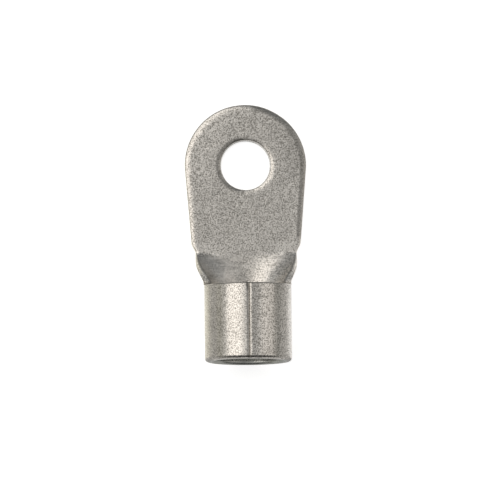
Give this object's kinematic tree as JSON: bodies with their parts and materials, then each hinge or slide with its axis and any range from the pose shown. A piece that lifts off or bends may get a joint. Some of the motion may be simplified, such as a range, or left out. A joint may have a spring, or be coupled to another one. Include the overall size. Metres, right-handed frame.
{
  "type": "ring terminal",
  "caption": "Uninsulated ring terminal: a flat ring tongue for a stud, rolled at the neck into an open wire barrel with a brazed seam.",
  "frame": {"origin": "centre of the stud hole, in the plane of the contact face", "axes": "+Z out of the stud hole on the side of the barrel and its seam, +Y from the barrel to the tip of the ring"},
  "size_m": [0.0162, 0.0348, 0.0116],
  "materials": {
    "tin_plate": "satin electro-tinned copper, finely pitted"
  },
  "bodies": {
    "root": {"ring_terminal": "tin_plate"}
  },
  "joints": []
}
